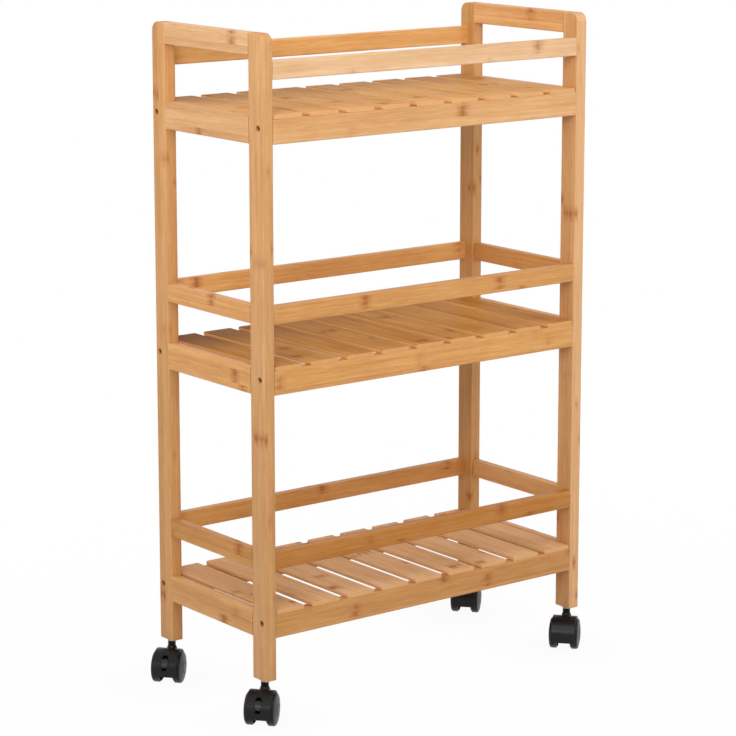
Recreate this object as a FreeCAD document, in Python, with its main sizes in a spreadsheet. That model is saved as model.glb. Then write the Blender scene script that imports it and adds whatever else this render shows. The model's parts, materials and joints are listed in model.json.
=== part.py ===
"""Rolling utility cart: three slatted bamboo shelves between two side frames, on four swivel casters.

Frame: millimetres, +Z up, +X along the long side, +Y towards the back.  The origin lies on the
floor, midway between the four pairs of wheels.  Every caster piece is modelled in its caster's own
frame: the swivel axis is that frame's Z axis, and the wheels trail along its +X axis.
"""
import FreeCAD, Part
import math
import os

import Sketcher

os.makedirs("parts", exist_ok=True)
doc = FreeCAD.newDocument("utility_cart")
Vector = FreeCAD.Vector

# ---------------------------------------------------------------- driving dimensions

SIZES = {
    # overall frame
    "frame_length": 500,
    "frame_depth": 228,
    # posts
    "post_thick": 16,
    "post_wide": 27,
    "post_foot": 52.5,
    "post_length": 773,
    "post_round": 11,
    "edge_ease": 1.6,
    # handle rails
    "handle_high": 26,
    # aprons and guard rails
    "apron_high": 33,
    "apron_thick": 15,
    "end_apron_thick": 12,
    "guard_high": 22.5,
    "guard_thick": 12,
    "rail_setback": 0.5,
    # shelves
    "low_shelf_rise": 84.5,
    "top_shelf_drop": 95.5,
    "guard_rise": 51.5,
    "top_guard_rise": 42,
    # slats
    "slat_count": 9,
    "slat_wide": 41,
    "slat_thick": 5,
    "slat_proud": 1.5,
    "slat_end_gap": 1,
    "slat_inset": 1,
    "slat_ease": 1.5,
    # dowels
    "dowel_radius": 3,
    "dowel_in_post": 10,
    "dowel_in_rail": 16,
    "glue_gap": 0.05,
    "dowel_end_gap": 0.5,
    "press_gap": 0.01,
    # frame screws
    "screw_inset": 8,
    "screw_rise": 3,
    "screw_radius": 2.5,
    "screw_head_radius": 3.5,
    "screw_head_high": 4,
    "screw_sink": 2.5,
    "screw_reach": 30,
    "screw_gap": 0.05,
    "screw_head_gap": 0.3,
    "screw_head_ease": 0.4,
    "screw_end_gap": 1,
    "hex_key": 3.5,
    "hex_deep": 2.2,
    # casters: swivel
    "heading": 221,
    "trail": 16,
    "stem_radius": 4,
    "stem_foot": 17,
    "stem_reach": 30,
    "stem_tip": 1,
    "swivel_gap": 0.05,
    "swivel_lift": 0.3,
    "collar_radius": 4.9,
    "collar_high": 1.5,
    "socket_radius": 5.2,
    "socket_reach": 34,
    "socket_flange_radius": 5.8,
    "socket_flange_high": 1.5,
    # casters: wheels
    "wheel_radius": 20,
    "wheel_inner": 8.5,
    "tread_wide": 7,
    "wheel_outer": 20.5,
    "wheel_bevel": 1.8,
    "rim_thick": 2.2,
    "cover_thick": 2.6,
    "shoulder_round": 3,
    "hub_radius": 4.5,
    "cap_radius": 6.2,
    "cap_groove_wide": 1,
    "cap_groove_deep": 0.7,
    "rib_count": 6,
    "rib_thick": 1.4,
    "rib_sunk": 1,
    "axle_radius": 1.5,
    "axle_gap": 0.05,
    "axle_end_gap": 0.5,
    # casters: hood
    "hood_gap": 1,
    "hood_wall": 2,
    "hood_wide": 31,
    "hood_drop": 7.6,
    "hood_ease": 0.8,
    "core_gap": 1,
    "boss_radius": 7,
    "boss_top": 38,
    "neck_radius": 4.9,
    "turret_high": 5.5,
    # casters: brake pedal
    "pedal_top": 18.6,
    "pedal_shoulder": 13.5,
    "pedal_foot": 1,
    "pedal_top_wide": 5,
    "pedal_wide": 10.8,
    "pedal_foot_wide": 5,
    "pedal_deep": 8,
    "pedal_gap": 0.5,
    "pedal_proud": 3.2,
    "pedal_sunk": 0.4,
    "pedal_ledge": 5,
    "pedal_heel": 3,
    "pedal_tip_angle": 37,
    "pedal_ledge_angle": 49,
    "pedal_under_angle": 30,
    "pedal_tail_angle": 12,
    "pedal_pin_radius": 1.2,
    "pedal_pin_out": 14,
    "pedal_pin_up": 11,
}

sheet = doc.addObject("Spreadsheet::Sheet", "sheet")
for row, (alias, size) in enumerate(SIZES.items(), start=1):
    sheet.set(f"A{row}", alias)
    sheet.set(f"B{row}", str(size))
    sheet.setAlias(f"B{row}", alias)
doc.recompute()


class Names:
    """Gives each alias of the sheet as the text that an expression reads it by."""

    def __getattr__(self, alias):
        if alias not in SIZES:
            raise AttributeError(alias)
        return f"sheet.{alias}"


s = Names()


def value(expression):
    """The number that an expression over the sheet's cells gives now."""
    return float(sheet.evalExpression(expression))


# ---------------------------------------------------------------- derived places, as expressions

POST_TOP = f"({s.post_foot} + {s.post_length})"
FRAME_X = f"(-{s.trail} * cos({s.heading}))"
FRAME_Y = f"(-{s.trail} * sin({s.heading}))"
INNER_LENGTH = f"({s.frame_length} - 2 * {s.post_thick})"
INNER_DEPTH = f"({s.frame_depth} - 2 * {s.post_wide})"
POST_X = f"({s.frame_length} / 2 - {s.post_thick} / 2)"
POST_Y = f"({s.frame_depth} / 2 - {s.post_wide} / 2)"
HANDLE_MID = f"({POST_TOP} - {s.handle_high} / 2)"
AXLE_LEVEL = s.wheel_radius
NECK_TOP = f"({s.post_foot} - {s.socket_flange_high} - {s.collar_high} - {s.swivel_lift})"

SHELVES = ["low", "mid", "top"]
LOW_SHELF = f"({s.post_foot} + {s.low_shelf_rise})"
TOP_SHELF = f"({POST_TOP} - {s.top_shelf_drop})"
LONG_APRON_HIGH = f"({s.apron_high} + {s.slat_proud} - {s.slat_thick})"


def shelf_level(index):
    """Top of a shelf's end aprons; the shelves are evenly spaced."""
    return f"({LOW_SHELF} + {index} / {len(SHELVES) - 1} * ({TOP_SHELF} - {LOW_SHELF}))"


def apron_mid(index):
    return f"({shelf_level(index)} - {s.apron_high} / 2)"


def slat_level(index):
    """Top of a shelf's long aprons, where its slats lie, a little proud of the end aprons."""
    return f"({shelf_level(index)} + {s.slat_proud} - {s.slat_thick})"


def long_apron_mid(index):
    return f"({slat_level(index)} - {LONG_APRON_HIGH} / 2)"


def guard_mid(index):
    rise = s.top_guard_rise if SHELVES[index] == "top" else s.guard_rise
    return f"({shelf_level(index)} + {rise} + {s.guard_high} / 2)"


# ---------------------------------------------------------------- drawing helpers

parts = []


def new_body(label):
    body = doc.addObject("PartDesign::Body", label)
    body.Label = label
    parts.append(body)
    return body


def new_sketch(body, role, lift="0", right="0", up="0"):
    """A sketch on one of the body's own origin planes, moved by expressions in its own axes."""
    plane = next(item for item in body.Origin.OriginFeatures if item.Role == role)
    sketch = body.newObject("Sketcher::SketchObject", f"{body.Label}_sketch")
    sketch.AttachmentSupport = [(plane, "")]
    sketch.MapMode = "FlatFace"
    for axis, offset in (("x", right), ("y", up), ("z", lift)):
        sketch.setExpression(f"AttachmentOffset.Base.{axis}", offset)
    return sketch


def bind(sketch, kind, first, second, name, expression):
    """A named distance from one point or line to another, driven by an expression."""
    index = sketch.addConstraint(Sketcher.Constraint(kind, *first, *second, value(expression)))
    sketch.renameConstraint(index, name)
    sketch.setExpression(f"Constraints.{name}", expression)


def arc_between(start, end, radius):
    """The short arc from start to end: it turns left for a positive radius, right for a negative."""
    chord = end - start
    height = math.sqrt(radius**2 - (chord.Length / 2) ** 2)
    to_left = Vector(-chord.y, chord.x, 0).normalize()
    centre = (start + end) * 0.5 + to_left * math.copysign(height, radius)
    first, last = (start, end) if radius > 0 else (end, start)
    angles = [math.atan2(point.y - centre.y, point.x - centre.x) for point in (first, last)]
    return Part.ArcOfCircle(Part.Circle(centre, Vector(0, 0, 1), abs(radius)), *angles)


def add_outline(sketch, corners, bends=None):
    """A closed outline through corners, each a pair of expressions measured from the origin.

    bends gives the radius of each side that is an arc, by the number of the corner it starts from.
    """
    bends = bends or {}
    points = [Vector(value(x), value(y), 0) for x, y in corners]
    count = len(points)
    ends = []
    for index, start in enumerate(points):
        end = points[(index + 1) % count]
        radius = value(bends[index]) if index in bends else None
        shape = Part.LineSegment(start, end) if radius is None else arc_between(start, end, radius)
        side = sketch.addGeometry(shape, False)
        ends.append((side, 1, 2) if radius is None or radius > 0 else (side, 2, 1))
        if radius is not None:
            bind(sketch, "Radius", (side,), (), f"bend{side}", f"abs({bends[index]})")
    for index, (side, _, last) in enumerate(ends):
        after, first, _ = ends[(index + 1) % count]
        sketch.addConstraint(Sketcher.Constraint("Coincident", side, last, after, first))
    for (side, first, _), (x, y) in zip(ends, corners):
        bind(sketch, "DistanceX", (-1, 1), (side, first), f"x{side}", x)
        bind(sketch, "DistanceY", (-1, 1), (side, first), f"y{side}", y)


def add_rectangle(sketch, wide, high, x="0", y="0"):
    left, right = f"{x} - {wide} / 2", f"{x} + {wide} / 2"
    bottom, top = f"{y} - {high} / 2", f"{y} + {high} / 2"
    add_outline(sketch, [(left, bottom), (right, bottom), (right, top), (left, top)])


def add_circles(sketch, centres, radius):
    for x, y in centres:
        centre = Vector(value(x), value(y), 0)
        circle = sketch.addGeometry(Part.Circle(centre, Vector(0, 0, 1), value(radius)), False)
        bind(sketch, "DistanceX", (-1, 1), (circle, 3), f"x{circle}", x)
        bind(sketch, "DistanceY", (-1, 1), (circle, 3), f"y{circle}", y)
        bind(sketch, "Radius", (circle,), (), f"r{circle}", radius)


def pad(body, sketch, length, symmetric=False):
    feature = body.newObject("PartDesign::Pad", f"{body.Label}_pad")
    feature.Profile = sketch
    feature.setExpression("Length", length)
    if symmetric:
        feature.SideType = "Symmetric"
    doc.recompute()
    return feature


def pocket(body, sketch, depth=None, backwards=False, symmetric=False):
    """A cut that has to remove material; without a depth it goes right through, both ways."""
    before = body.Shape.Volume
    feature = body.newObject("PartDesign::Pocket", f"{body.Label}_pocket")
    feature.Profile = sketch
    feature.Reversed = backwards
    if depth is None:
        feature.Type = "ThroughAll"
        feature.SideType = "Symmetric"
    else:
        feature.setExpression("Length", depth)
        if symmetric:
            feature.SideType = "Symmetric"
    doc.recompute()
    if not body.Shape.Volume < before:
        raise RuntimeError(f"a pocket of {body.Label} removed nothing")
    return feature


def fillet(body, base, radius, chosen):
    """Rounds the edges of a feature that the test picks."""
    names = [f"Edge{i}" for i, edge in enumerate(base.Shape.Edges, start=1) if chosen(edge)]
    feature = body.newObject("PartDesign::Fillet", f"{body.Label}_fillet")
    feature.Base = (base, names)
    feature.setExpression("Radius", radius)
    doc.recompute()
    return feature


def revolve(body, sketch, axis):
    """A full turn about one of the sketch's own axes."""
    feature = body.newObject("PartDesign::Revolution", f"{body.Label}_turned")
    feature.Profile = sketch
    feature.ReferenceAxis = (sketch, [axis])
    feature.Angle = 360
    doc.recompute()
    return feature


def runs_along(direction):
    """Picks straight edges parallel to a direction."""

    def test(edge):
        if not isinstance(edge.Curve, Part.Line):
            return False
        return abs(abs(edge.Curve.Direction.dot(direction)) - 1) < 1e-6

    return test


def place(body, x, y, z="0", turn="0"):
    """Puts a body in the cart, measured from the middle of the wooden frame."""
    body.Placement.Rotation = FreeCAD.Rotation(Vector(0, 0, 1), value(turn))
    body.setExpression("Placement.Base.x", f"{FRAME_X} + {x}")
    body.setExpression("Placement.Base.y", f"{FRAME_Y} + {y}")
    body.setExpression("Placement.Base.z", z)


# Plane, long direction, and whether the plane's normal is the direction or its opposite.
ALONG = {
    "X": ("YZ_Plane", Vector(1, 0, 0), 1),
    "Y": ("XZ_Plane", Vector(0, 1, 0), -1),
    "Z": ("XY_Plane", Vector(0, 0, 1), 1),
}


def make_bar(label, along, thick, high, length, ease):
    """A straight bar about its own origin, with its long edges eased."""
    body = new_body(label)
    role, direction, _ = ALONG[along]
    sketch = new_sketch(body, role)
    add_rectangle(sketch, thick, high)
    blank = pad(body, sketch, length, symmetric=True)
    fillet(body, blank, ease, runs_along(direction))
    return body


def drill_ends(body, along, length, centre, radius, depth):
    """The same blind hole in both ends of a bar."""
    role, _, sign = ALONG[along]
    for end in (1, -1):
        lift = f"{end * sign} * {length} / 2"
        sketch = new_sketch(body, role, lift)
        add_circles(sketch, [centre], radius)
        pocket(body, sketch, depth, backwards=(end * sign < 0))


# ---------------------------------------------------------------- wooden frame

DOWEL_HOLE = f"({s.dowel_radius} + {s.glue_gap})"
LONG_GUARD_Y = f"({s.frame_depth} / 2 - {s.rail_setback} - {s.guard_thick} / 2)"
SCREW_IN_APRON = f"({s.screw_rise} + ({s.apron_high} - {LONG_APRON_HIGH}) / 2)"
LONG_APRON_Y = f"({s.frame_depth} / 2 - {s.rail_setback} - {s.apron_thick} / 2)"
SCREW_Y = f"({s.frame_depth} / 2 - {s.screw_inset})"


def end_rail_x(thick):
    """Middle of a short rail that lies flush with the posts' outer faces."""
    return f"({s.frame_length} / 2 - {thick} / 2)"


# Every short rail: name, level of its middle, its height and its thickness.
END_RAILS = [("handle", HANDLE_MID, s.handle_high, s.post_thick)]
for number, shelf in enumerate(SHELVES):
    END_RAILS.append((f"{shelf}_end_apron", apron_mid(number), s.apron_high, s.end_apron_thick))
    if shelf != "top":
        END_RAILS.append((f"{shelf}_end_guard", guard_mid(number), s.guard_high, s.guard_thick))


def make_post(label, side, face):
    """A post: side is -1 on the left and 1 on the right, face -1 at the front and 1 at the back."""
    body = new_body(label)
    outer = f"({face} * {s.post_wide} / 2)"
    inner = f"({-face} * {s.post_wide} / 2)"
    profile = new_sketch(body, "YZ_Plane")
    corners = [(inner, s.post_foot), (outer, s.post_foot), (outer, POST_TOP), (inner, POST_TOP)]
    add_outline(profile, corners)
    blank = pad(body, profile, s.post_thick, symmetric=True)

    def is_outer_top(edge):
        centre = edge.CenterOfMass
        on_top = abs(centre.z - value(POST_TOP)) < 0.01
        return on_top and abs(centre.y - value(outer)) < 0.01

    rounded = fillet(body, blank, s.post_round, is_outer_top)
    inner_end, foot_end = value(inner), value(s.post_foot)

    def is_long_edge(edge):
        box = edge.BoundBox
        faces_rail = box.YLength < 0.01 and abs(box.YMin - inner_end) < 0.01
        at_foot = box.ZLength < 0.01 and abs(box.ZMin - foot_end) < 0.01
        return box.XLength < 0.01 and not at_foot and not (faces_rail and box.ZLength < 1)

    fillet(body, rounded, s.edge_ease, is_long_edge)

    guards, screws = [], []
    for index in range(len(SHELVES)):
        guards.append((f"({face} * ({LONG_GUARD_Y} - {POST_Y}))", guard_mid(index)))
        screws.append((f"({face} * ({SCREW_Y} - {POST_Y}))", f"{apron_mid(index)} + {s.screw_rise}"))

    through = new_sketch(body, "YZ_Plane")
    add_circles(through, screws, f"{s.screw_radius} + {s.screw_gap}")
    pocket(body, through)
    sinks = new_sketch(body, "YZ_Plane", f"{side} * {s.post_thick} / 2")
    add_circles(sinks, screws, f"{s.screw_head_radius} + {s.screw_head_gap}")
    pocket(body, sinks, f"{s.screw_sink} + {s.screw_head_high}", backwards=(side < 0))
    mortises = new_sketch(body, "YZ_Plane", f"{-side} * {s.post_thick} / 2")
    add_circles(mortises, guards, DOWEL_HOLE)
    pocket(body, mortises, s.dowel_in_post, backwards=(side > 0))

    rails = []
    for _, level, _, thick in END_RAILS:
        rails.append((f"({side} * ({end_rail_x(thick)} - {POST_X}))", level))
    ends = new_sketch(body, "XZ_Plane", f"{face} * {s.post_wide} / 2")
    add_circles(ends, rails, DOWEL_HOLE)
    pocket(body, ends, s.dowel_in_post, backwards=(face < 0))

    foot = new_sketch(body, "XY_Plane", s.post_foot)
    add_circles(foot, [("0", "0")], f"{s.socket_radius} + {s.glue_gap}")
    pocket(body, foot, f"{s.socket_reach} + {s.glue_gap}", backwards=True)
    place(body, f"{side} * {POST_X}", f"{face} * {POST_Y}")


SIDES = [("left", -1), ("right", 1)]
FACES = [("front", -1), ("back", 1)]

for side_name, side in SIDES:
    for face_name, face in FACES:
        make_post(f"{face_name}_{side_name}_post", side, face)

for side_name, side in SIDES:
    for name, level, high, thick in END_RAILS:
        rail = make_bar(f"{side_name}_{name}", "Y", thick, high, INNER_DEPTH, s.edge_ease)
        drill_ends(rail, "Y", INNER_DEPTH, ("0", "0"), DOWEL_HOLE, s.dowel_in_rail)
        place(rail, f"{side} * {end_rail_x(thick)}", "0", level)

for number, shelf in enumerate(SHELVES):
    for face_name, face in FACES:
        label = f"{shelf}_{face_name}_guard"
        guard = make_bar(label, "X", s.guard_thick, s.guard_high, INNER_LENGTH, s.edge_ease)
        drill_ends(guard, "X", INNER_LENGTH, ("0", "0"), DOWEL_HOLE, s.dowel_in_rail)
        place(guard, "0", f"{face} * {LONG_GUARD_Y}", guard_mid(number))

        label = f"{shelf}_{face_name}_apron"
        apron = make_bar(label, "X", s.apron_thick, LONG_APRON_HIGH, INNER_LENGTH, s.edge_ease)
        hole = (f"({face} * ({SCREW_Y} - {LONG_APRON_Y}))", SCREW_IN_APRON)
        drill_ends(apron, "X", INNER_LENGTH, hole, f"{s.screw_radius} + {s.screw_gap}", s.screw_reach)
        place(apron, "0", f"{face} * {LONG_APRON_Y}", long_apron_mid(number))


# ---------------------------------------------------------------- slats, dowels and screws


def make_group(label, shapes):
    """Several like solids that share one node."""
    group = doc.addObject("Part::Feature", label)
    group.Label = label
    group.Shape = Part.Compound(shapes)
    group.Placement = FreeCAD.Placement(Vector(value(FRAME_X), value(FRAME_Y), 0), FreeCAD.Rotation())
    parts.append(group)


def slat_shapes(level):
    """The slats of one shelf, evenly spaced between the posts."""
    count = int(value(s.slat_count))
    wide, thick = value(s.slat_wide), value(s.slat_thick)
    long = value(s.frame_depth) - 2 * value(s.slat_inset)
    span = value(INNER_LENGTH) - 2 * value(s.slat_end_gap)
    pitch = (span - wide) / (count - 1)
    shapes = []
    for index in range(count):
        corner = Vector(index * pitch - span / 2, -long / 2, level)
        slat = Part.makeBox(wide, long, thick, corner)
        edges = [edge for edge in slat.Edges if runs_along(Vector(0, 1, 0))(edge)]
        shapes.append(slat.makeFillet(value(s.slat_ease), edges))
    return shapes


for number, shelf in enumerate(SHELVES):
    make_group(f"{shelf}_shelf_slats", slat_shapes(value(slat_level(number))))


def dowel(x, y, z, direction):
    """A dowel that crosses a joint face at a point and runs along a direction into the rail."""
    end_gap = value(s.dowel_end_gap)
    in_post, in_rail = value(s.dowel_in_post) - end_gap, value(s.dowel_in_rail) - end_gap
    start = Vector(x, y, z) - direction * in_post
    return Part.makeCylinder(value(s.dowel_radius), in_post + in_rail, start, direction)


end_dowels = []
for _, side in SIDES:
    for _, level, _, thick in END_RAILS:
        x, z = side * value(end_rail_x(thick)), value(level)
        for _, face in FACES:
            end_dowels.append(dowel(x, face * value(INNER_DEPTH) / 2, z, Vector(0, -face, 0)))
make_group("end_rail_dowels", end_dowels)

guard_dowels = []
for number in range(len(SHELVES)):
    for _, side in SIDES:
        for _, face in FACES:
            x, y = side * value(INNER_LENGTH) / 2, face * value(LONG_GUARD_Y)
            guard_dowels.append(dowel(x, y, value(guard_mid(number)), Vector(-side, 0, 0)))
make_group("guard_rail_dowels", guard_dowels)


def hexagon(across_flats):
    """A hexagon about the X axis, in the plane x = 0."""
    reach = across_flats / math.sqrt(3)
    corners = []
    for step in range(7):
        angle = math.radians(60 * step)
        corners.append(Vector(0, reach * math.cos(angle), reach * math.sin(angle)))
    return Part.Face(Part.makePolygon(corners))


def frame_screw():
    """A socket-head screw along +X whose head starts at the origin."""
    along = Vector(1, 0, 0)
    head_high = value(s.screw_head_high)
    shank = value(s.post_thick) - value(s.screw_sink) - head_high
    shank += value(s.screw_reach) - value(s.screw_end_gap)
    head = Part.makeCylinder(value(s.screw_head_radius), head_high, Vector(0, 0, 0), along)
    rim = [edge for edge in head.Edges if edge.Closed and edge.CenterOfMass.x < head_high / 2]
    head = head.makeChamfer(value(s.screw_head_ease), rim)
    start = Vector(head_high, 0, 0)
    body = Part.makeCylinder(value(s.screw_radius), shank, start, along)
    socket = hexagon(value(s.hex_key)).extrude(along * value(s.hex_deep))
    return head.fuse(body).cut(socket).removeSplitter()


screws = []
for number in range(len(SHELVES)):
    for _, side in SIDES:
        for _, face in FACES:
            screw = frame_screw()
            if side > 0:
                screw.rotate(Vector(0, 0, 0), Vector(0, 0, 1), 180)
            x = side * (value(s.frame_length) / 2 - value(s.screw_sink))
            z = value(apron_mid(number)) + value(s.screw_rise)
            screw.translate(Vector(x, face * value(SCREW_Y), z))
            screws.append(screw)
make_group("frame_screws", screws)

# ---------------------------------------------------------------- caster stems and sockets


def revolved(profile):
    """A solid of revolution about Z from (radius, height) pairs."""
    points = [Vector(radius, 0, height) for radius, height in profile]
    return Part.Face(Part.makePolygon(points + points[:1])).revolve(Vector(0, 0, 0), Vector(0, 0, 1), 360)


def stem_shape():
    """A steel stem: its foot turns in the hood, its collar stops it at the socket."""
    radius, tip = value(s.stem_radius), value(s.stem_tip)
    collar_top = value(s.post_foot) - value(s.socket_flange_high)
    collar_foot = collar_top - value(s.collar_high)
    top = value(s.post_foot) + value(s.stem_reach)
    profile = [(0, value(s.stem_foot)), (radius - tip, value(s.stem_foot))]
    profile += [(radius, value(s.stem_foot) + tip), (radius, collar_foot)]
    profile += [(value(s.collar_radius), collar_foot), (value(s.collar_radius), collar_top)]
    profile += [(radius, collar_top), (radius, top - tip), (radius - tip, top), (0, top)]
    return revolved(profile)


def socket_shape():
    """A plastic socket: a flanged sleeve, closed at the top, pressed up into the post."""
    bore = value(s.stem_radius) + value(s.glue_gap)
    foot = value(s.post_foot) - value(s.socket_flange_high)
    roof = value(s.post_foot) + value(s.stem_reach) + value(s.dowel_end_gap)
    top = value(s.post_foot) + value(s.socket_reach)
    radius, flange = value(s.socket_radius), value(s.socket_flange_radius)
    profile = [(bore, foot), (flange, foot), (flange, value(s.post_foot)), (radius, value(s.post_foot))]
    profile += [(radius, top), (0, top), (0, roof), (bore, roof)]
    return revolved(profile)


CASTERS = []
for face_name, face in FACES:
    for side_name, side in SIDES:
        CASTERS.append((f"{face_name}_{side_name}", side, face, side_name == "left"))


def at_posts(shape):
    """A copy of a shape under each post."""
    copies = []
    for _, side, face, _ in CASTERS:
        copies.append(shape.translated(Vector(side * value(POST_X), face * value(POST_Y), 0)))
    return copies


make_group("caster_sockets", at_posts(socket_shape()))
make_group("caster_stems", at_posts(stem_shape()))

# ---------------------------------------------------------------- casters

HOOD_INNER = f"({s.wheel_radius} + {s.hood_gap})"
HOOD_OUTER = f"({HOOD_INNER} + {s.hood_wall})"
HOOD_FOOT = f"({AXLE_LEVEL} - {s.hood_drop})"
HOOD_TOP = f"({AXLE_LEVEL} + {HOOD_OUTER})"
CORE_WIDE = f"(2 * ({s.wheel_inner} - {s.core_gap}))"
PEDAL_WALL = f"({s.trail} + {s.pedal_deep})"
PEDAL_PIN = (f"({s.trail} + {s.pedal_pin_out})", f"({AXLE_LEVEL} + {s.pedal_pin_up})")


def place_caster(body, side, face):
    place(body, f"{side} * {POST_X}", f"{face} * {POST_Y}", "0", s.heading)


def add_hood_profile(sketch):
    """A circle about the axle, cut off level below it."""
    radius, drop = value(HOOD_OUTER), value(s.hood_drop)
    centre = Vector(value(s.trail), value(AXLE_LEVEL), 0)
    dip = math.asin(drop / radius)
    arc = Part.ArcOfCircle(Part.Circle(centre, Vector(0, 0, 1), radius), -dip, math.pi + dip)
    sketch.addGeometry(arc, False)
    reach = radius * math.cos(dip)
    right, left = centre + Vector(reach, -drop, 0), centre + Vector(-reach, -drop, 0)
    sketch.addGeometry(Part.LineSegment(left, right), False)
    sketch.addConstraint(Sketcher.Constraint("Coincident", 0, 2, 1, 1))
    sketch.addConstraint(Sketcher.Constraint("Coincident", 1, 2, 0, 1))
    sketch.addConstraint(Sketcher.Constraint("Horizontal", 1))
    bind(sketch, "DistanceX", (-1, 1), (0, 3), "centre_x", s.trail)
    bind(sketch, "DistanceY", (-1, 1), (0, 3), "centre_y", AXLE_LEVEL)
    bind(sketch, "Radius", (0,), (), "radius", HOOD_OUTER)
    bind(sketch, "DistanceY", (-1, 1), (1, 1), "foot", HOOD_FOOT)


def pedal_outline(gap):
    """The right half of the pedal's slot from its foot up, seen along the trail, shrunk by a gap."""
    return [
        (f"({s.pedal_foot_wide} / 2 - {gap})", f"({AXLE_LEVEL} + {s.pedal_foot} + {gap})"),
        (f"({s.pedal_wide} / 2 - {gap})", f"({AXLE_LEVEL} + {s.pedal_shoulder})"),
        (f"({s.pedal_top_wide} / 2 - {gap})", f"({AXLE_LEVEL} + {s.pedal_top} - {gap})"),
    ]


def make_hood(label, braked):
    """The moulded body: a hood over both wheels, a core between them and a boss for the stem."""
    body = new_body(label)
    profile = new_sketch(body, "XZ_Plane")
    add_hood_profile(profile)
    blank = pad(body, profile, s.hood_wide, symmetric=True)

    def is_end_arc(edge):
        return isinstance(edge.Curve, Part.Circle)

    fillet(body, blank, s.hood_ease, is_end_arc)

    for end in (1, -1):
        cavity = new_sketch(body, "XZ_Plane", f"{end} * {s.hood_wide} / 2")
        add_circles(cavity, [(s.trail, AXLE_LEVEL)], HOOD_INNER)
        pocket(body, cavity, f"({s.hood_wide} - {CORE_WIDE}) / 2", backwards=(end < 0))

    boss = new_sketch(body, "XY_Plane", HOOD_FOOT)
    add_circles(boss, [("0", "0")], s.boss_radius)
    pad(body, boss, f"{s.boss_top} - {HOOD_FOOT}")
    turret = new_sketch(body, "XZ_Plane")
    turret_top = f"({s.boss_top} + {s.turret_high})"
    outline = [("0", s.boss_top), (s.boss_radius, s.boss_top), (s.neck_radius, turret_top)]
    add_outline(turret, [*outline, ("0", turret_top)])
    revolve(body, turret, "V_Axis")
    neck = new_sketch(body, "XY_Plane", s.boss_top)
    add_circles(neck, [("0", "0")], s.neck_radius)
    pad(body, neck, f"{NECK_TOP} - {s.boss_top}")
    bore = new_sketch(body, "XY_Plane", NECK_TOP)
    add_circles(bore, [("0", "0")], f"{s.stem_radius} + {s.swivel_gap}")
    pocket(body, bore, f"{NECK_TOP} - {s.stem_foot} + {s.swivel_lift}")
    axle_hole = new_sketch(body, "XZ_Plane")
    add_circles(axle_hole, [(s.trail, AXLE_LEVEL)], f"{s.axle_radius} + {s.press_gap}")
    pocket(body, axle_hole)
    if braked:
        slot = new_sketch(body, "YZ_Plane", PEDAL_WALL)
        right = pedal_outline("0")
        add_outline(slot, right + [(f"-{half}", level) for half, level in reversed(right)])
        pocket(body, slot, HOOD_OUTER, backwards=True)
        pin_hole = new_sketch(body, "XZ_Plane")
        add_circles(pin_hole, [PEDAL_PIN], f"{s.pedal_pin_radius} + {s.press_gap}")
        pocket(body, pin_hole, CORE_WIDE, symmetric=True)


def make_pin(label, centre, radius, length):
    """A round pin across the caster."""
    body = new_body(label)
    sketch = new_sketch(body, "XZ_Plane")
    add_circles(sketch, [centre], radius)
    pad(body, sketch, length, symmetric=True)


WHEEL_PIT = f"({s.wheel_outer} - {s.cover_thick})"
SHOULDER = f"({s.wheel_inner} + {s.tread_wide})"


def make_wheel(label, hand):
    """A wheel with a domed cover, a hub cap and ribs; hand is the side of the hood that it runs on."""
    body = new_body(label)
    half = new_sketch(body, "YZ_Plane", s.trail, up=AXLE_LEVEL)
    crown_rise = f"({s.wheel_radius} - {s.shoulder_round})"
    crown_out = f"({SHOULDER} + {s.shoulder_round})"
    dome = f"({s.wheel_outer} - {crown_out})"
    crown_radius = f"(({crown_rise}^2 + {dome}^2) / (2 * {dome}))"
    bore = f"({s.axle_radius} + {s.axle_gap})"
    rim_inside = f"({s.wheel_radius} - {s.rim_thick})"
    cover_inside = f"({crown_out} - {s.cover_thick})"

    def on_dome(rise):
        return f"({s.wheel_outer} - {crown_radius} + sqrt({crown_radius}^2 - ({rise})^2))"

    groove_top = f"({s.cap_radius} + {s.cap_groove_wide})"
    groove_floor = f"({on_dome(groove_top)} - {s.cap_groove_deep})"
    section = [
        (WHEEL_PIT, "0"),
        (WHEEL_PIT, bore),
        (s.wheel_inner, bore),
        (s.wheel_inner, s.hub_radius),
        (cover_inside, s.hub_radius),
        (cover_inside, rim_inside),
        (s.wheel_inner, rim_inside),
        (s.wheel_inner, f"{s.wheel_radius} - {s.wheel_bevel}"),
        (f"{s.wheel_inner} + {s.wheel_bevel}", s.wheel_radius),
        (SHOULDER, s.wheel_radius),
        (crown_out, crown_rise),
        (on_dome(groove_top), groove_top),
        (groove_floor, groove_top),
        (groove_floor, s.cap_radius),
        (on_dome(s.cap_radius), s.cap_radius),
        (s.wheel_outer, "0"),
    ]
    corners = [(f"{hand} * ({across})", rise) for across, rise in section]
    crown = f"{-hand} * {crown_radius}"
    add_outline(half, corners, {9: f"{-hand} * {s.shoulder_round}", 10: crown, 14: crown})
    revolve(body, half, "H_Axis")

    rib = new_sketch(body, "YZ_Plane", s.trail, up=AXLE_LEVEL)
    foot, head = f"({s.wheel_inner} + {s.rib_sunk})", f"({cover_inside} + {s.cover_thick} / 2)"
    inside, outside = f"({s.hub_radius} - {s.rib_sunk})", f"({rim_inside} + {s.rim_thick} / 2)"
    wide, high = f"({head} - {foot})", f"({outside} - {inside})"
    add_rectangle(rib, wide, high, f"{hand} * ({foot} + {wide} / 2)", f"{inside} + {high} / 2")
    blade = pad(body, rib, s.rib_thick, symmetric=True)
    around = body.newObject("PartDesign::PolarPattern", f"{label}_ribs")
    around.Originals = [blade]
    around.Axis = (rib, ["H_Axis"])
    around.Angle = 360
    around.setExpression("Occurrences", s.rib_count)
    body.Tip = around
    doc.recompute()


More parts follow.
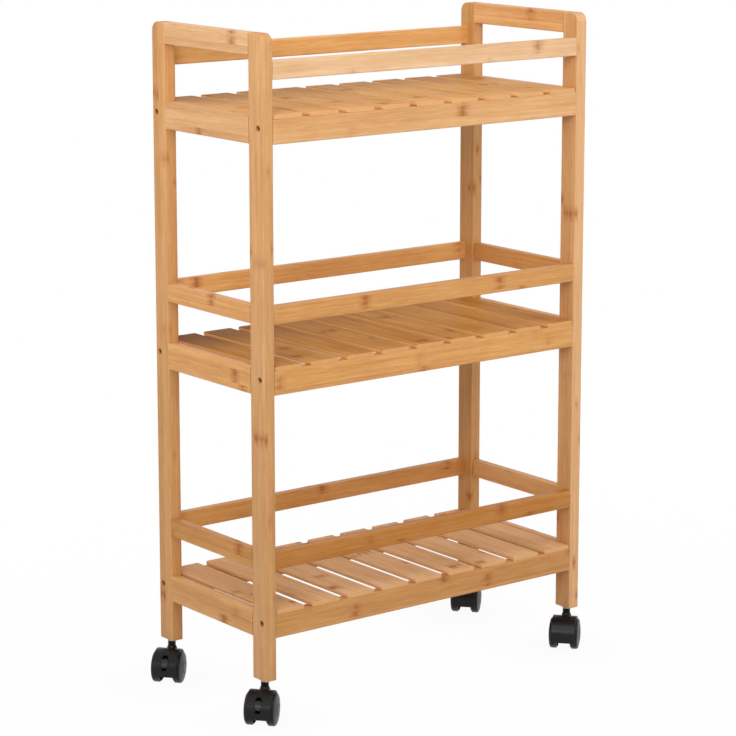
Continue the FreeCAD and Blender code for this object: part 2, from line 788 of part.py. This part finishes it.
def polar(radius, degrees):
    """A place at a radius and an angle about the axle, seen from the side."""
    x = f"{s.trail} + {radius} * cos({degrees})"
    return x, f"{AXLE_LEVEL} + {radius} * sin({degrees})"


def make_pedal(label):
    """The brake pedal: a block, widest at its shoulder, that stands proud of its slot as a toe ledge."""
    body = new_body(label)
    skin = f"({HOOD_OUTER} - {s.pedal_sunk})"
    heel = f"{PEDAL_WALL} + {s.pedal_heel}"
    tail = polar(skin, s.pedal_tail_angle)
    profile = [
        polar(f"({HOOD_OUTER} + {s.pedal_proud})", s.pedal_tip_angle),
        polar(f"({HOOD_OUTER} - {s.pedal_ledge})", s.pedal_ledge_angle),
        (heel, f"{PEDAL_PIN[1]} + {s.pedal_heel}"),
        (heel, tail[1]),
        tail,
        polar(skin, s.pedal_under_angle),
    ]
    side = new_sketch(body, "XZ_Plane")
    add_outline(side, profile, {4: skin})
    pad(body, side, s.pedal_wide, symmetric=True)
    for hand in (-1, 1):
        edge = [(f"{hand} * {half}", level) for half, level in pedal_outline(s.pedal_gap)]
        clear = f"{hand} * {s.pedal_wide}"
        taper = new_sketch(body, "YZ_Plane")
        add_outline(taper, [*edge, (clear, edge[-1][1]), (clear, edge[0][1])])
        pocket(body, taper)
    pin_hole = new_sketch(body, "XZ_Plane")
    add_circles(pin_hole, [PEDAL_PIN], f"{s.pedal_pin_radius} + {s.axle_gap}")
    pocket(body, pin_hole)


WHEEL_SIDES = [("inner", 1), ("outer", -1)]

for name, side, face, braked in CASTERS:
    make_hood(f"{name}_caster_hood", braked)
    axle_length = f"2 * ({WHEEL_PIT} - {s.axle_end_gap})"
    make_pin(f"{name}_caster_axle", (s.trail, AXLE_LEVEL), s.axle_radius, axle_length)
    for hand_name, hand in WHEEL_SIDES:
        make_wheel(f"{name}_{hand_name}_wheel", hand)
    if braked:
        make_pedal(f"{name}_brake_pedal")
        pin_length = f"{CORE_WIDE} - {s.pedal_gap}"
        make_pin(f"{name}_brake_pin", PEDAL_PIN, s.pedal_pin_radius, pin_length)
    for piece in parts:
        if piece.Label.startswith(f"{name}_") and not piece.Label.endswith("post"):
            place_caster(piece, side, face)

# ---------------------------------------------------------------- check and export

doc.recompute()
for item in doc.Objects:
    if "Invalid" in item.State or "Error" in item.State:
        raise RuntimeError(f"{item.Label} failed: {item.State}")
for item in parts:
    if item.Shape.isNull() or not item.Shape.isValid():
        raise RuntimeError(f"{item.Label} has no valid shape")
for item in parts:
    item.Shape.exportStep(f"parts/{item.Label}.step")
print(f"{len(parts)} nodes written")
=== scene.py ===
"""Rolling utility cart: honey bamboo frame with slatted shelves, on four charcoal plastic casters."""
import json
import math
import random

import bpy
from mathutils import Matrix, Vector


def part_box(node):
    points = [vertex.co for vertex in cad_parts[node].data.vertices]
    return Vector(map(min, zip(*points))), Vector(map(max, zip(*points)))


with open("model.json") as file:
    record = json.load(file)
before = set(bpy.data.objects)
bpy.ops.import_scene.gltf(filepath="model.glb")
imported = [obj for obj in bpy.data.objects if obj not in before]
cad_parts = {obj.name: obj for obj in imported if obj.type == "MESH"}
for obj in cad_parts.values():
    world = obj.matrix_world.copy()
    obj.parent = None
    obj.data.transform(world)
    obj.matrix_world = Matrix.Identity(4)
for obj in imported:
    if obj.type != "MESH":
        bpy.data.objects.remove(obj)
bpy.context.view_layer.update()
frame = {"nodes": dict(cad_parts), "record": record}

record = frame["record"]
nodes = frame["nodes"]
MM = 0.001
X, Y, Z = range(3)
WHITE = (1, 1, 1, 1)

# ---------------------------------------------------------------- shader maths


class Value:
    """A number that a shader works out; Python's operators on it add Math nodes."""

    def __init__(self, material, socket):
        self.material = material
        self.socket = socket

    def __add__(self, other):
        return self.material.maths("ADD", self, other)

    def __radd__(self, other):
        return self.material.maths("ADD", self, other)

    def __sub__(self, other):
        return self.material.maths("SUBTRACT", self, other)

    def __rsub__(self, other):
        return self.material.maths("SUBTRACT", other, self)

    def __mul__(self, other):
        return self.material.maths("MULTIPLY", self, other)

    def __rmul__(self, other):
        return self.material.maths("MULTIPLY", self, other)

    def __truediv__(self, other):
        return self.material.maths("DIVIDE", self, other)

    def __rtruediv__(self, other):
        return self.material.maths("DIVIDE", other, self)

    def __abs__(self):
        return self.material.maths("ABSOLUTE", self)

    def floor(self):
        return self.material.maths("FLOOR", self)

    def fraction(self):
        return self.material.maths("FRACT", self)

    def greatest(self, other):
        return self.material.maths("MAXIMUM", self, other)

    def within(self, low, high):
        """0 up to low and 1 from high, with a smooth step between them."""
        sockets = {"Value": self, "From Min": low, "From Max": high, "To Min": 0, "To Max": 1}
        return self.material.node("ShaderNodeMapRange", {"interpolation_type": "SMOOTHSTEP"}, sockets)


class Material:
    """A material, or the world, whose nodes are all made by one method."""

    # The places of the Mix node's sockets for colours.
    MIX_FACTOR, MIX_FIRST, MIX_SECOND, MIX_RESULT = 0, 6, 7, 2

    def __init__(self, name, made_in=bpy.data.materials, output="ShaderNodeOutputMaterial"):
        self.data = made_in.new(name)
        self.data.use_nodes = True
        self.tree = self.data.node_tree
        self.tree.nodes.clear()
        self.output = self.tree.nodes.new(output)

    def node(self, kind, settings=None, sockets=None, result=0):
        """Adds a node: its settings first, then the values or links of its sockets."""
        made = self.tree.nodes.new(kind)
        for name, setting in (settings or {}).items():
            if name == "stops":
                self.set_stops(made.color_ramp, setting)
            else:
                setattr(made, name, setting)
        for name, given in (sockets or {}).items():
            if isinstance(given, Value):
                self.tree.links.new(given.socket, made.inputs[name])
            else:
                made.inputs[name].default_value = given
        return Value(self, made.outputs[result])

    def set_stops(self, ramp, stops):
        while len(ramp.elements) < len(stops):
            ramp.elements.new(0.5)
        for element, (place, colour) in zip(ramp.elements, stops):
            element.position = place
            element.color = (*colour, 1)

    def finish(self, surface):
        self.tree.links.new(surface.socket, self.output.inputs["Surface"])
        return self.data

    def coated(self, sockets):
        """Finishes the material as one solid surface."""
        return self.finish(self.node("ShaderNodeBsdfPrincipled", None, sockets))

    def maths(self, operation, *numbers):
        return self.node("ShaderNodeMath", {"operation": operation}, dict(enumerate(numbers)))

    def blend(self, factor, first, second):
        """Mixes two colours; each is a Value or three numbers."""
        first, second = [c if isinstance(c, Value) else (*c, 1) for c in (first, second)]
        sockets = {self.MIX_FACTOR: factor, self.MIX_FIRST: first, self.MIX_SECOND: second}
        return self.node("ShaderNodeMix", {"data_type": "RGBA"}, sockets, self.MIX_RESULT)

    def vector(self, x, y, z):
        return self.node("ShaderNodeCombineXYZ", None, {X: x, Y: y, Z: z})

    def axes(self, vector):
        """The three numbers of a vector."""
        return [self.node("ShaderNodeSeparateXYZ", None, {0: vector}, axis) for axis in (X, Y, Z)]

    def place(self):
        """Where a point is on the cart, in metres, as the cart stands at rest."""
        return self.node("ShaderNodeTexCoord", result="Object")

    def chance(self, x, y, z):
        """A random number from 0 to 1 for each cell."""
        return self.node("ShaderNodeTexWhiteNoise", None, {"Vector": self.vector(x, y, z)})

    def noise(self, vector, scale=1, detail=2, roughness=0.5):
        sockets = {"Vector": vector, "Scale": scale, "Detail": detail, "Roughness": roughness}
        return self.node("ShaderNodeTexNoise", None, sockets)

    def bump(self, strength, deep, height):
        sockets = {"Strength": strength, "Distance": deep, "Height": height}
        return self.node("ShaderNodeBump", None, sockets)

    def in_sight(self):
        """1 for what the camera, a reflection or clear glass shows, and 0 for the light it casts."""
        seen, glossy, through = [
            self.node("ShaderNodeLightPath", result=f"Is {ray} Ray")
            for ray in ("Camera", "Glossy", "Transmission")
        ]
        return seen.greatest(glossy).greatest(through)


def linear(red, green, blue):
    """A display colour of 0 to 255 as the linear colour that a shader takes."""

    def channel(c):
        c /= 255
        return c / 12.92 if c <= 0.04045 else ((c + 0.055) / 1.055) ** 2.4

    return channel(red), channel(green), channel(blue)


# ---------------------------------------------------------------- bamboo

# The dark, middle and light tones of the palest cane and of the warmest, and where each lies on
# the scale of tones.
PALE_CANE = [linear(212, 167, 118), linear(227, 183, 139), linear(240, 203, 165)]
WARM_CANE = [linear(183, 115, 43), linear(205, 140, 62), linear(222, 163, 88)]
TONE_STOPS = (0.08, 0.48, 0.9)
NODE_BROWN = linear(154, 70, 18)
FIBRE_BROWN = linear(184, 122, 66)
# Painted shade, for the slats towards the back and the left of a shelf.
PAINTED_SHADE_BROWN = linear(92, 50, 6)
# Painted light, which makes the slats' side and end faces paler.
LIT_EDGE_TAN = linear(224, 172, 118)

# The glued strips: how thick they are, the least and most of the first one that the saw takes, and
# how far from a strip's middle its glue line begins and is full.  The nudge keeps a piece's outer
# face in its first layer of strips.
STRIP_THICK = 5.4 * MM
FIRST_CUT = (0.2, 0.8)
LAYER_NUDGE = 0.02
GLUE_LINE = (0.484, 0.497)
GLUE_SHOWS = 0.16

# Three kinds of fibre, each as its length, its width, how finely it breaks up, and what sets it
# apart from the others.
BROAD_STREAKS = (220 * MM, 6 * MM, 3, 0.37)
FINE_STREAKS = (50 * MM, 1.1 * MM, 3, 0.71)
FLECKS = (26 * MM, 2.1 * MM, 2, 0.53)
FIBRE_UNEVEN = 0.6
# How far the fibres of one strip are shifted from the next one's.
STRIP_SHIFT = 9
# Where the fine streaks are darker or lighter than the cane, and how strongly that shows.
DARK_FIBRE, DARK_SHOWS = (0.56, 0.76), 0.34
LIGHT_FIBRE, LIGHT_SHOWS = (0.46, 0.24), 0.2

# Cloudiness over all the strips of a piece: clouds to the metre, along the grain and across it.
CLOUDS_ALONG, CLOUDS_ACROSS = 9, 22
CLOUD_DETAIL, CLOUD_UNEVEN = 3, 0.55

# How much each unevenness counts in the tone, and what brings their sum to the scale of tones.
STRIP_SHARE, BROAD_SHARE, CLOUD_SHARE, FLECK_SHARE = 0.3, 0.95, 0.6, 0.7
TONE_SHIFT = 0.83

# The bands that the cane's nodes leave across a strip: how far apart they are, how far they are
# shifted from strip to strip, and how ragged they are.
INTERNODE = 210 * MM
BAND_SHIFT = 3.7
BAND_RAGGED = 0.03
RAGGED_ALONG, RAGGED_ACROSS = 40, 160
# Which bands show, and where their patches are.
BAND_CHANCE = (0.2, 0.8)
PATCHES = (0.3, 0.62)
# How far the halo and the dark core of a band reach, and how strongly they show: everywhere, and
# how much more in a patch.
HALO_REACH = (14 * MM, 3 * MM)
CORE_REACH = (4.6 * MM, 1 * MM)
HALO_LEAST, HALO_MORE = 0.08, 0.38
CORE_LEAST, CORE_MORE = 0.14, 0.36

# Cut ends, with the dark dots of the cane's vessels, and how strongly both show.
VESSELS_PER_METRE = 1150
VESSELS_UNEVEN = 0.9
VESSEL_DOT = (0.32, 0.12)
CUT_FACE = (0.72, 0.9)
END_LEAST, END_MORE = 0.08, 0.3

# The slats of a shelf: where a painted shade browns them, from the front and from the left,
# and the painted light that makes their side and end faces paler.
BACKWARD = (80 * MM, 210 * MM)
LEFTWARD = (240 * MM, 20 * MM)
LIT_EDGE_FACING = (0.7, 0.3)
LIT_EDGE_SHOWS = 0.75

# Left and right faces, for the posts that get a painted shade there: a darker cane of their own.
SHADED_SIDE_FACE = (0.5, 0.9)

# The lacquer: how rough it is and what roughens it, how the grain stands out in it, and its gloss.
LACQUER_ROUGH = 0.36
FIBRE_ROUGH, HALO_ROUGH, CUT_ROUGH = 0.14, 0.08, 0.2
FIBRE_RISES, BROAD_RISES, CORE_SINKS = 0.7, 0.3, 0.6
GRAIN_STRENGTH = 0.14
GRAIN_DEEP = 0.4 * MM
STICK_GLOSS = 0.25
SLAT_GLOSS = 0.015

# These keep the random numbers of one strip apart from one another.
PHASE_COLUMN, PHASE_LAYER = 17, 5
BAND_KEY = 31


def cane_tones(warmth, shade, redness=0):
    """Dark, middle and light tones of one stick, from pale straw at 0 warmth to honey at 1."""
    tones = []
    for pale, warm in zip(PALE_CANE, WARM_CANE):
        red, green, blue = (shade * (p + (w - p) * warmth) for p, w in zip(pale, warm))
        tones.append((red, green * (1 - redness), blue))
    return tones


class Stick:
    """How far along, across and deep in a laminated piece a point is, and in which of its strips.

    low and high are the corners of the piece, grain is the axis that its fibres follow, strip is
    how wide its strips are, and seed makes its grain its own.  With repeat, it is a row of like
    pieces at that pitch along X.
    """

    def __init__(self, name, low, high, grain, strip, seed, repeat):
        material = Material(name)
        self.material = material
        self.seed = seed
        self.place = material.place()
        self.facing = material.axes(material.node("ShaderNodeNewGeometry", result="Normal"))
        self.from_corner = [at - low[axis] for axis, at in enumerate(material.axes(self.place))]
        inside = list(self.from_corner)
        self.piece = seed
        if repeat:
            row = inside[X] / repeat
            self.piece = row.floor() + seed
            inside[X] = row.fraction() * repeat
        sides = [axis for axis in (X, Y, Z) if axis != grain]
        wide, thin = sorted(sides, key=lambda axis: low[axis] - high[axis])
        self.along, self.across, self.deep = inside[grain], inside[wide], inside[thin]

        self.columns = self.across / strip + random.Random(seed).uniform(*FIRST_CUT)
        self.column = self.columns.floor()
        layer = (self.deep / STRIP_THICK + LAYER_NUDGE).floor()
        self.tone = material.chance(self.column, layer, self.piece)
        self.phase = material.chance(self.column + PHASE_COLUMN, layer + PHASE_LAYER, self.piece)

    def streaks(self, length, width, detail, key):
        """Fibres: noise drawn out along the grain, which starts anew in each strip."""
        along = self.along * (1 / length) + self.tone * STRIP_SHIFT
        spot = self.material.vector(along, self.across / width, self.deep / width + self.seed * key)
        return self.material.noise(spot, detail=detail, roughness=FIBRE_UNEVEN)

    def spot(self, along, across):
        """The place in the piece, scaled along the grain and across it."""
        return self.material.vector(self.along * along, self.across * across, self.deep * across + self.seed)

    def clouds(self):
        """Cloudiness that takes no account of the strips."""
        spot = self.spot(CLOUDS_ALONG, CLOUDS_ACROSS)
        return self.material.noise(spot, detail=CLOUD_DETAIL, roughness=CLOUD_UNEVEN)

    def bands(self):
        """The halo and the core of the bands that the cane's nodes leave, and their patches."""
        ragged = self.material.noise(self.spot(RAGGED_ALONG, RAGGED_ACROSS), roughness=FIBRE_UNEVEN)
        bands = self.along / INTERNODE + self.phase * BAND_SHIFT + (ragged - 0.5) * BAND_RAGGED
        chance = self.material.chance(bands.floor(), self.column, self.piece + BAND_KEY)
        strength = chance.within(*BAND_CHANCE)
        away = abs(bands.fraction() - 0.5) * INTERNODE
        halo, core = [away.within(*reach) * strength for reach in (HALO_REACH, CORE_REACH)]
        return halo, core, ragged.within(*PATCHES)

    def vessels(self):
        """The dots of the end grain."""
        sockets = {"Vector": self.place, "Scale": VESSELS_PER_METRE, "Randomness": VESSELS_UNEVEN}
        return self.material.node("ShaderNodeTexVoronoi", None, sockets).within(*VESSEL_DOT)


def bamboo(name, low, high, grain, strip, seed, cane, side=None, repeat=None, darker=(0, 0)):
    """Laminated bamboo for one piece, or for a row of them; Stick says what low to seed stand for.

    cane is what cane_tones takes, and side is that of the left and right faces, where they get a painted
    shade.
    darker is the painted shade that a row gets towards the back, and how much more of it at the left.
    """
    stick = Stick(name, low, high, grain, strip, seed, repeat)
    blend = stick.material.blend
    broad, fine, fleck = [stick.streaks(*kind) for kind in (BROAD_STREAKS, FINE_STREAKS, FLECKS)]
    tone = (
        stick.tone * STRIP_SHARE
        + broad * BROAD_SHARE
        + stick.clouds() * CLOUD_SHARE
        + fleck * FLECK_SHARE
        - TONE_SHIFT
    )

    def tinted(tones):
        return stick.material.node("ShaderNodeValToRGB", {"stops": list(zip(TONE_STOPS, tones))}, {0: tone})

    tones = cane_tones(*cane)
    colour = tinted(tones)
    # Painted shade on the left and right faces.
    if side:
        colour = blend(abs(stick.facing[X]).within(*SHADED_SIDE_FACE), colour, tinted(cane_tones(*side)))
    colour = blend(fine.within(*DARK_FIBRE) * DARK_SHOWS, colour, FIBRE_BROWN)
    colour = blend(fine.within(*LIGHT_FIBRE) * LIGHT_SHOWS, colour, tones[-1])

    halo, core, patch = stick.bands()
    colour = blend(halo * (patch * HALO_MORE + HALO_LEAST), colour, NODE_BROWN)
    colour = blend(core * (patch * CORE_MORE + CORE_LEAST), colour, NODE_BROWN)

    glue = abs(stick.columns.fraction() - 0.5).within(*GLUE_LINE)
    colour = blend(glue * GLUE_SHOWS, colour, FIBRE_BROWN)

    cut = abs(stick.facing[grain]).within(*CUT_FACE)
    colour = blend(cut * (stick.vessels() * END_MORE + END_LEAST), colour, NODE_BROWN)

    if repeat:
        # Painted shade: the slats get browner towards the back, and more at the left.
        at_back, more_at_left = darker
        leftward = stick.from_corner[X].within(*LEFTWARD)
        painted_shade = stick.from_corner[Y].within(*BACKWARD) * (leftward * more_at_left + at_back)
        colour = blend(painted_shade, colour, PAINTED_SHADE_BROWN)
        # Painted light: the side and end faces of the slats are made paler, as if lit.
        lit_edge = abs(stick.facing[Z]).within(*LIT_EDGE_FACING)
        colour = blend(lit_edge * LIT_EDGE_SHOWS, colour, LIT_EDGE_TAN)

    raised = fine * FIBRE_RISES + broad * BROAD_RISES - core * CORE_SINKS
    return stick.material.coated({
        "Base Color": colour,
        "Roughness": LACQUER_ROUGH + fine * FIBRE_ROUGH + halo * HALO_ROUGH + cut * CUT_ROUGH,
        "Normal": stick.material.bump(GRAIN_STRENGTH, GRAIN_DEEP, raised),
        "Specular IOR Level": SLAT_GLOSS if repeat else STICK_GLOSS,
    })


def nodes_with(slot):
    """The nodes of the pieces that have one finish."""
    return [subpart["node"] for subpart in record["subparts"] if subpart["material_slot"] == slot]


def dress(node, material):
    """Gives a carried-over node one material on every slot."""
    mesh = nodes[node].data
    if not mesh.materials:
        mesh.materials.append(material)
    for slot in nodes[node].material_slots:
        slot.material = material


# The axis that a wooden piece's grain runs along, by the end of its name, and how wide the strips
# are then.
GRAIN = {"post": Z, "handle": Y, "end_apron": Y, "end_guard": Y, "apron": X, "guard": X}
STRIP_WIDE = {X: 17 * MM, Y: 17 * MM, Z: 32 * MM}

# How warm, how light and how much redder each piece's cane is; the first name that fits a piece
# is used. How light a piece is, is partly its own tone and partly painted light and shade for how brightly
# it is lit.
CANE_AND_PAINTED_LIGHT = {
    "front_left_post": (0.57, 0.95),
    "front_right_post": (0.31, 1.02),
    "back_left_post": (0.68, 0.95),
    "back_right_post": (0.69, 0.88),
    "left_handle": (0.33, 1.0),
    "right_handle": (0.67, 1.0),
    "top_front_guard": (0.0, 1.0),
    "top_back_guard": (0.73, 1.09, -0.04),
    "top_front_apron": (0.55, 1.0),
    "top_shelf_slats": (0.66, 1.09, -0.03),
    "top": (0.46, 0.995),
    "mid_shelf_slats": (0.96, 0.94, -0.03),
    "mid_back_guard": (0.72, 1.2, -0.03),
    "mid_front_guard": (0.77, 0.99),
    "mid_front_apron": (0.77, 1.05),
    "right_mid_end_guard": (0.86, 0.92),
    "mid": (0.7, 1.1),
    "low_shelf_slats": (0.24, 1.045),
    "low_front_guard": (1.04, 0.785, 0.085),
    "low_back_guard": (0.83, 0.98),
    "low_front_apron": (0.73, 0.955),
    "right_low_end_guard": (0.66, 0.94),
    "low_end_guard": (0.87, 0.94),
    "low": (0.68, 1.035),
}
# A painted shade on the left and right faces of the right posts: a darker cane there.
SIDE_SHADE_CANE = {"front_right_post": (0.56, 0.9), "back_right_post": (0.8, 0.8)}


def grain_of(node):
    ending = max((end for end in GRAIN if node.endswith(end)), key=len)
    return GRAIN[ending]


def cane_of(node):
    return next(cane for name, cane in CANE_AND_PAINTED_LIGHT.items() if name in node)


FIRST_STICK_SEED = 3
for seed, node in enumerate(nodes_with("bamboo"), start=FIRST_STICK_SEED):
    low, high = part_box(node)
    grain = grain_of(node)
    cane, side = cane_of(node), SIDE_SHADE_CANE.get(node)
    dress(node, bamboo(f"bamboo_{node}", low, high, grain, STRIP_WIDE[grain], seed, cane, side))

SLATS_PER_SHELF = 9
SLAT_WIDE = 41 * MM
SLAT_STRIP = 20 * MM
FIRST_SLAT_SEED = 60
# Painted shade of each shelf's slats: how much at the back, and how much more at the left.
PAINTED_SHADE_OF_ROWS = {"top_shelf_slats": (0.4, 0.12), "mid_shelf_slats": (0.12, 0.6), "low_shelf_slats": (0, 0)}
for seed, node in enumerate(nodes_with("slat_bamboo"), start=FIRST_SLAT_SEED):
    low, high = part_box(node)
    pitch = (high[X] - low[X] - SLAT_WIDE) / (SLATS_PER_SHELF - 1)
    looks = {"cane": cane_of(node), "repeat": pitch, "darker": PAINTED_SHADE_OF_ROWS[node]}
    dress(node, bamboo(f"bamboo_{node}", low, high, Y, SLAT_STRIP, seed, **looks))

# ---------------------------------------------------------------- plastic and steel

# The speckle of the plastic: how many to the metre, how uneven and how deep.
SPECKLE_SCALE, SPECKLE_UNEVEN = 2600, 0.6
SPECKLE_DEEP = 0.2 * MM
# Smears that make the plastic paler and rougher.
SMEAR_SCALE = 60
SMEAR_SHOWS = 0.5
SMEAR_PALER, SMEAR_LIFTED = 1.5, 0.002
SMEAR_ROUGH = 0.12
# The rings that turning leaves on steel.
RING_SCALE = 900
RING_ROUGH = 0.15


def moulded(name, colour, rough, grit, gloss):
    """Moulded plastic with a fine spark-eroded texture."""
    material = Material(name)
    place = material.place()
    speckle = material.noise(place, SPECKLE_SCALE, roughness=SPECKLE_UNEVEN)
    smear = material.noise(place, SMEAR_SCALE)
    paler = [channel * SMEAR_PALER + SMEAR_LIFTED for channel in colour]
    return material.coated({
        "Base Color": material.blend(smear * SMEAR_SHOWS, colour, paler),
        "Roughness": rough + smear * SMEAR_ROUGH,
        "Normal": material.bump(grit, SPECKLE_DEEP, speckle),
        "Specular IOR Level": gloss,
    })


def plated(name, colour, rough):
    """Turned steel with faint rings."""
    material = Material(name)
    rings = material.noise(material.place(), RING_SCALE)
    return material.coated({
        "Base Color": (*colour, 1),
        "Metallic": 1.0,
        "Roughness": rough + rings * RING_ROUGH,
    })


DOWEL_BOX = (0, 0, 0), (1, 1, 1)
DOWEL_STRIP = 6 * MM
DOWEL_SEED = 91
DOWEL_CANE = (0.2, 1)
FINISHES = {
    "hood_plastic": moulded("hood_plastic", linear(20, 17, 20), rough=0.24, grit=0.1, gloss=0.21),
    "wheel_plastic": moulded("wheel_plastic", linear(17, 16, 17), rough=0.28, grit=0.06, gloss=0.22),
    "pedal_plastic": moulded("pedal_plastic", linear(30, 30, 32), rough=0.2, grit=0.1, gloss=0.34),
    "screw_steel": plated("screw_steel", linear(98, 68, 46), rough=0.45),
    "pin_steel": plated("pin_steel", linear(178, 178, 180), rough=0.3),
    "dowel_wood": bamboo("dowel_wood", *DOWEL_BOX, X, DOWEL_STRIP, DOWEL_SEED, DOWEL_CANE),
}
for slot, finish in FINISHES.items():
    for node in nodes_with(slot):
        dress(node, finish)

# ---------------------------------------------------------------- floor, light and camera

FLOOR_REACH = 6
FLOOR_GREY = (0.7, 0.7, 0.7, 1)
# How far aside and back of the cart's middle the casters stand.
CASTER_ASIDE, CASTER_BACK = 0.24, 0.1
# How white the floor is by itself: least at the casters, where their real shadow shows and a faint grey
# halo of painted shade lies round them, and more with the distance from them, close by and further off.
GLOW_LEAST = 0.95
NEAR_REACH, NEAR_MORE = (0.02, 0.14), 0.035
FAR_REACH, FAR_MORE = (0.1, 0.8), 0.015
WORLD_LIGHT = 0.71


def make_floor():
    """A white floor that shows only a faint shadow: its real one and a painted grey halo round each caster.
    """
    reach = FLOOR_REACH
    corners = [(-reach, -reach, 0), (reach, -reach, 0), (reach, reach, 0), (-reach, reach, 0)]
    mesh = bpy.data.meshes.new("floor")
    mesh.from_pydata(corners, [], [(0, 1, 2, 3)])
    floor = bpy.data.objects.new("floor", mesh)
    bpy.context.scene.collection.objects.link(floor)
    material = Material("floor_white")
    aside, back = material.axes(material.place())[:2]
    from_caster = material.vector(abs(aside) - CASTER_ASIDE, abs(back) - CASTER_BACK, 0)
    away = material.node("ShaderNodeVectorMath", {"operation": "LENGTH"}, {0: from_caster}, "Value")
    glowing = away.within(*NEAR_REACH) * NEAR_MORE + away.within(*FAR_REACH) * FAR_MORE + GLOW_LEAST
    plain = material.node("ShaderNodeBsdfDiffuse", None, {"Color": FLOOR_GREY})
    glow = material.node("ShaderNodeEmission", None, {"Color": WHITE, "Strength": 1})
    mixed = material.node("ShaderNodeMixShader", None, {0: material.in_sight() * glowing, 1: plain, 2: glow})
    mesh.materials.append(material.finish(mixed))


def make_world():
    """White behind the cart, and a soft even light all round."""
    world = Material("studio", bpy.data.worlds, "ShaderNodeOutputWorld")
    lit = world.node("ShaderNodeBackground", None, {"Color": WHITE, "Strength": WORLD_LIGHT})
    shown = world.node("ShaderNodeBackground", None, {"Color": WHITE, "Strength": 1})
    mixed = world.node("ShaderNodeMixShader", None, {0: world.in_sight(), 1: lit, 2: shown})
    bpy.context.scene.world = world.finish(mixed)


def aim(thing, direction):
    """Puts a lamp or the camera in the scene, looking along a direction with its top up."""
    thing.rotation_euler = direction.to_track_quat("-Z", "Y").to_euler()
    bpy.context.scene.collection.objects.link(thing)


def softbox(name, place, target, wide, power, spread=180):
    """A square area light aimed at a point; spread is the angle of its beam in degrees."""
    light = bpy.data.lights.new(name, "AREA")
    light.spread = math.radians(spread)
    light.shape = "SQUARE"
    light.size = wide
    light.energy = power
    lamp = bpy.data.objects.new(name, light)
    lamp.location = place
    aim(lamp, Vector(target) - Vector(place))


AZIMUTH = math.radians(-37.68)
ELEVATION = math.radians(10.89)
DISTANCE = 3.3962
LENS = 132.53
SENSOR_WIDE = 36
SHIFT_UP = -0.08
# What the camera looks at: how far beside the middle of the wooden frame, and how high.
TARGET_ASIDE = -6.38 * MM
TARGET_HIGH = 459.7 * MM


def wooden_middle():
    """The middle of the wooden frame, which the posts stand round."""
    left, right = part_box("front_left_post")[0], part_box("back_right_post")[1]
    return (left[X] + right[X]) / 2, (left[Y] + right[Y]) / 2


def make_camera():
    """A long lens, a little above the middle shelf."""
    middle_x, middle_y = wooden_middle()
    target = Vector((
        middle_x + TARGET_ASIDE * math.cos(AZIMUTH),
        middle_y + TARGET_ASIDE * math.sin(AZIMUTH),
        TARGET_HIGH,
    ))
    back = Vector((
        math.sin(AZIMUTH) * math.cos(ELEVATION),
        -math.cos(AZIMUTH) * math.cos(ELEVATION),
        math.sin(ELEVATION),
    ))
    data = bpy.data.cameras.new("camera")
    data.lens = LENS
    data.sensor_width = SENSOR_WIDE
    data.shift_y = SHIFT_UP
    camera = bpy.data.objects.new("camera", data)
    camera.location = target + back * DISTANCE
    aim(camera, -back)
    bpy.context.scene.camera = camera


make_floor()
make_world()
softbox("key", place=(-2.1, -1.5, 1.7), target=(0, 0, 1.1), wide=1.2, power=4, spread=50)
softbox("fill", place=(1.2, -1.3, 1.0), target=(0.25, 0, 0.6), wide=0.8, power=4)
softbox("high", place=(-1.4, -1.6, 2.9), target=(0, 0, 0.5), wide=1.4, power=21)
make_camera()
bpy.context.scene.view_settings.view_transform = "Standard"
